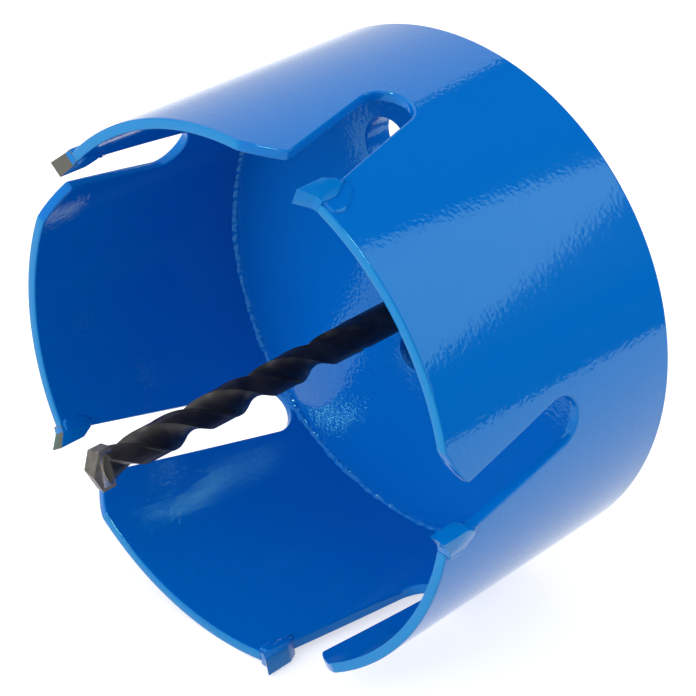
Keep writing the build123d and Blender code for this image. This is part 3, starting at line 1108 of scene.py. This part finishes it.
def camera_sees(tree):
    """1 for a ray from the camera or one reflected or let through, which should see the plain background."""
    path = add_node(tree, "ShaderNodeLightPath")
    straight = add_math(tree, "MAXIMUM", path.outputs["Is Camera Ray"], path.outputs["Is Glossy Ray"])
    return add_math(tree, "MAXIMUM", straight, path.outputs["Is Transmission Ray"])


def show(tree, lit, seen, output):
    """Give an output one shader for lighting the saw and another for being looked at."""
    choice = add_node(tree, "ShaderNodeMixShader")
    for socket, source in zip(choice.inputs, (camera_sees(tree), lit.outputs[0], seen.outputs[0])):
        tree.links.new(source, socket)
    tree.links.new(choice.outputs[0], output.inputs[0])


def make_room(room_light):
    """World that lights softly and shows plain white."""
    world = bpy.data.worlds.new("studio_room")
    world.use_nodes = True
    tree = world.node_tree
    tree.nodes.clear()
    lit = add_node(tree, "ShaderNodeBackground", Color=WHITE, Strength=room_light)
    seen = add_node(tree, "ShaderNodeBackground", Color=WHITE, Strength=1.0)
    show(tree, lit, seen, add_node(tree, "ShaderNodeOutputWorld"))
    bpy.context.scene.world = world


def make_floor(floor_colour):
    """Wide floor that shows white but keeps the saw's shadow."""
    bm = bmesh.new()
    place = Matrix.Translation((0, 0, FLOOR))
    bmesh.ops.create_grid(bm, x_segments=4, y_segments=4, size=FLOOR_REACH, matrix=place)
    material, tree, shader = start_material("floor_paper", Roughness=0.9, Specular_IOR_Level=0.0)
    shades = {"Colour": floor_colour, "Second_Colour": (0.70, 0.70, 0.70, 1.0)}
    cloud = use_group(tree, tone_group, Scale=3.0, Amount=0.3, **shades)
    tree.links.new(cloud, shader.inputs["Base Color"])
    glow = add_node(tree, "ShaderNodeEmission", Color=WHITE, Strength=FLOOR_GLOW)
    both = add_node(tree, "ShaderNodeAddShader")
    tree.links.new(shader.outputs[0], both.inputs[0])
    tree.links.new(glow.outputs[0], both.inputs[1])
    show(tree, shader, both, tree.nodes["Material Output"])
    floor = new_object(bm, "studio_floor", material)


def direction(azimuth, elevation):
    """Unit vector at an azimuth from +X towards +Y and an elevation, in degrees."""
    a, e = math.radians(azimuth), math.radians(elevation)
    return Vector((math.cos(e) * math.cos(a), math.cos(e) * math.sin(a), math.sin(e)))


def add_lamp(name, azimuth, elevation, distance, width, height, watts):
    """Rectangular soft lamp that faces the saw's middle."""
    data = bpy.data.lights.new(name, "AREA")
    data.shape = "RECTANGLE"
    data.size = width
    data.size_y = height
    data.energy = watts
    lamp = bpy.data.objects.new(name, data)
    bpy.context.scene.collection.objects.link(lamp)
    away = direction(azimuth, elevation)
    lamp.location = SAW_MIDDLE + away * distance
    facing = away.to_track_quat("Z", "Y").to_matrix().to_4x4()
    lamp.matrix_world = Matrix.Translation(lamp.location) @ facing
    return lamp


def add_card(name, facing, distance, corners, strength):
    """Upright card that shows only in reflections. Its corners are given sideways and upwards, in metres."""
    outwards = direction(facing, 0)
    sideways = Vector((-outwards.y, outwards.x, 0))
    bm = bmesh.new()
    bm.faces.new([bm.verts.new(outwards * distance + sideways * s + Vector((0, 0, z))) for s, z in corners])
    material = bpy.data.materials.new(name)
    material.use_nodes = True
    tree = material.node_tree
    tree.nodes.clear()
    glow = add_node(tree, "ShaderNodeEmission", Color=WHITE, Strength=strength)
    tree.links.new(glow.outputs[0], add_node(tree, "ShaderNodeOutputMaterial").inputs[0])
    card = new_object(bm, name, material)
    for ray in ("camera", "diffuse", "transmission", "shadow"):
        setattr(card, f"visible_{ray}", False)


class HOLESAW_OT_stage(Operator):
    """Set up the floor, the room's light, the soft lamps and the camera"""

    bl_idname = "hole_saw.stage"
    bl_label = "Studio"

    def execute(self, context):
        studio = context.scene.hole_saw_studio
        make_room(studio.room_light)
        make_floor(studio.floor_colour)
        # Azimuth, elevation, distance, width, height and watts of each lamp
        add_lamp("high_left", 200, 55, 1.2, 0.9, 0.9, 3)
        add_lamp("front_light", 266, 23, 1.0, 0.8, 0.8, 5.6).visible_glossy = False
        add_lamp("window_light", 54, 24, 1.1, 0.5, 0.6, 5.5).visible_glossy = False
        highlight = ((-0.14, 0.74), (0.14, 0.74), (0.14, 0.92), (-0.14, 0.92))
        dark = ((-0.7, FLOOR), (0.42, FLOOR), (0.42, 1.0), (-0.7, 1.0))
        window = ((-0.027, 0.199), (-0.027, 0.45), (-0.30, 0.45), (-0.30, 0.036))
        add_card("highlight_card", 302, 0.7, highlight, 55)
        add_card("dark_card", 60, 0.290, dark, 0.02)
        add_card("window_card", 60, 0.285, window, 1.8)
        data = bpy.data.cameras.new("camera")
        data.lens = studio.camera_lens
        data.sensor_width = 36
        data.clip_start = 0.01
        camera = bpy.data.objects.new("camera", data)
        camera.location = studio.camera_place
        camera.rotation_euler = studio.camera_turn
        context.scene.collection.objects.link(camera)
        context.scene.camera = camera
        context.scene.view_settings.view_transform = "Standard"
        return {"FINISHED"}


# ---------- panel and start

OPERATORS = (
    HOLESAW_OT_wall,
    HOLESAW_OT_base,
    HOLESAW_OT_weld,
    HOLESAW_OT_tips,
    HOLESAW_OT_braze,
    HOLESAW_OT_drill,
    HOLESAW_OT_arbor,
    HOLESAW_OT_stage,
)
GROUPS_OF_VALUES = (
    ("hole_saw_sizes", HoleSawSizes),
    ("hole_saw_finish", HoleSawFinish),
    ("hole_saw_studio", HoleSawStudio),
)


class HOLESAW_PT_panel(Panel):
    """Lists the hole saw's operators and values"""

    bl_label = "Hole Saw"
    bl_idname = "HOLESAW_PT_panel"
    bl_space_type = "VIEW_3D"
    bl_region_type = "UI"
    bl_category = "Hole Saw"

    def draw(self, context):
        for operator in OPERATORS:
            self.layout.operator(operator.bl_idname)
        for name, group in GROUPS_OF_VALUES:
            box = self.layout.box()
            for value in group.__annotations__:
                box.prop(getattr(context.scene, name), value)


def register():
    for name, group in GROUPS_OF_VALUES:
        bpy.utils.register_class(group)
        setattr(bpy.types.Scene, name, PointerProperty(type=group))
    for operator in OPERATORS:
        bpy.utils.register_class(operator)
    bpy.utils.register_class(HOLESAW_PT_panel)


def unregister():
    bpy.utils.unregister_class(HOLESAW_PT_panel)
    for operator in reversed(OPERATORS):
        bpy.utils.unregister_class(operator)
    for name, group in reversed(GROUPS_OF_VALUES):
        delattr(bpy.types.Scene, name)
        bpy.utils.unregister_class(group)


def main():
    register()
    bpy.ops.hole_saw.wall()
    bpy.ops.hole_saw.base()
    bpy.ops.hole_saw.weld()
    bpy.ops.hole_saw.tips()
    bpy.ops.hole_saw.braze()
    bpy.ops.hole_saw.drill()
    bpy.ops.hole_saw.arbor()
    bpy.ops.hole_saw.stage()


if __name__ == "__main__":
    main()
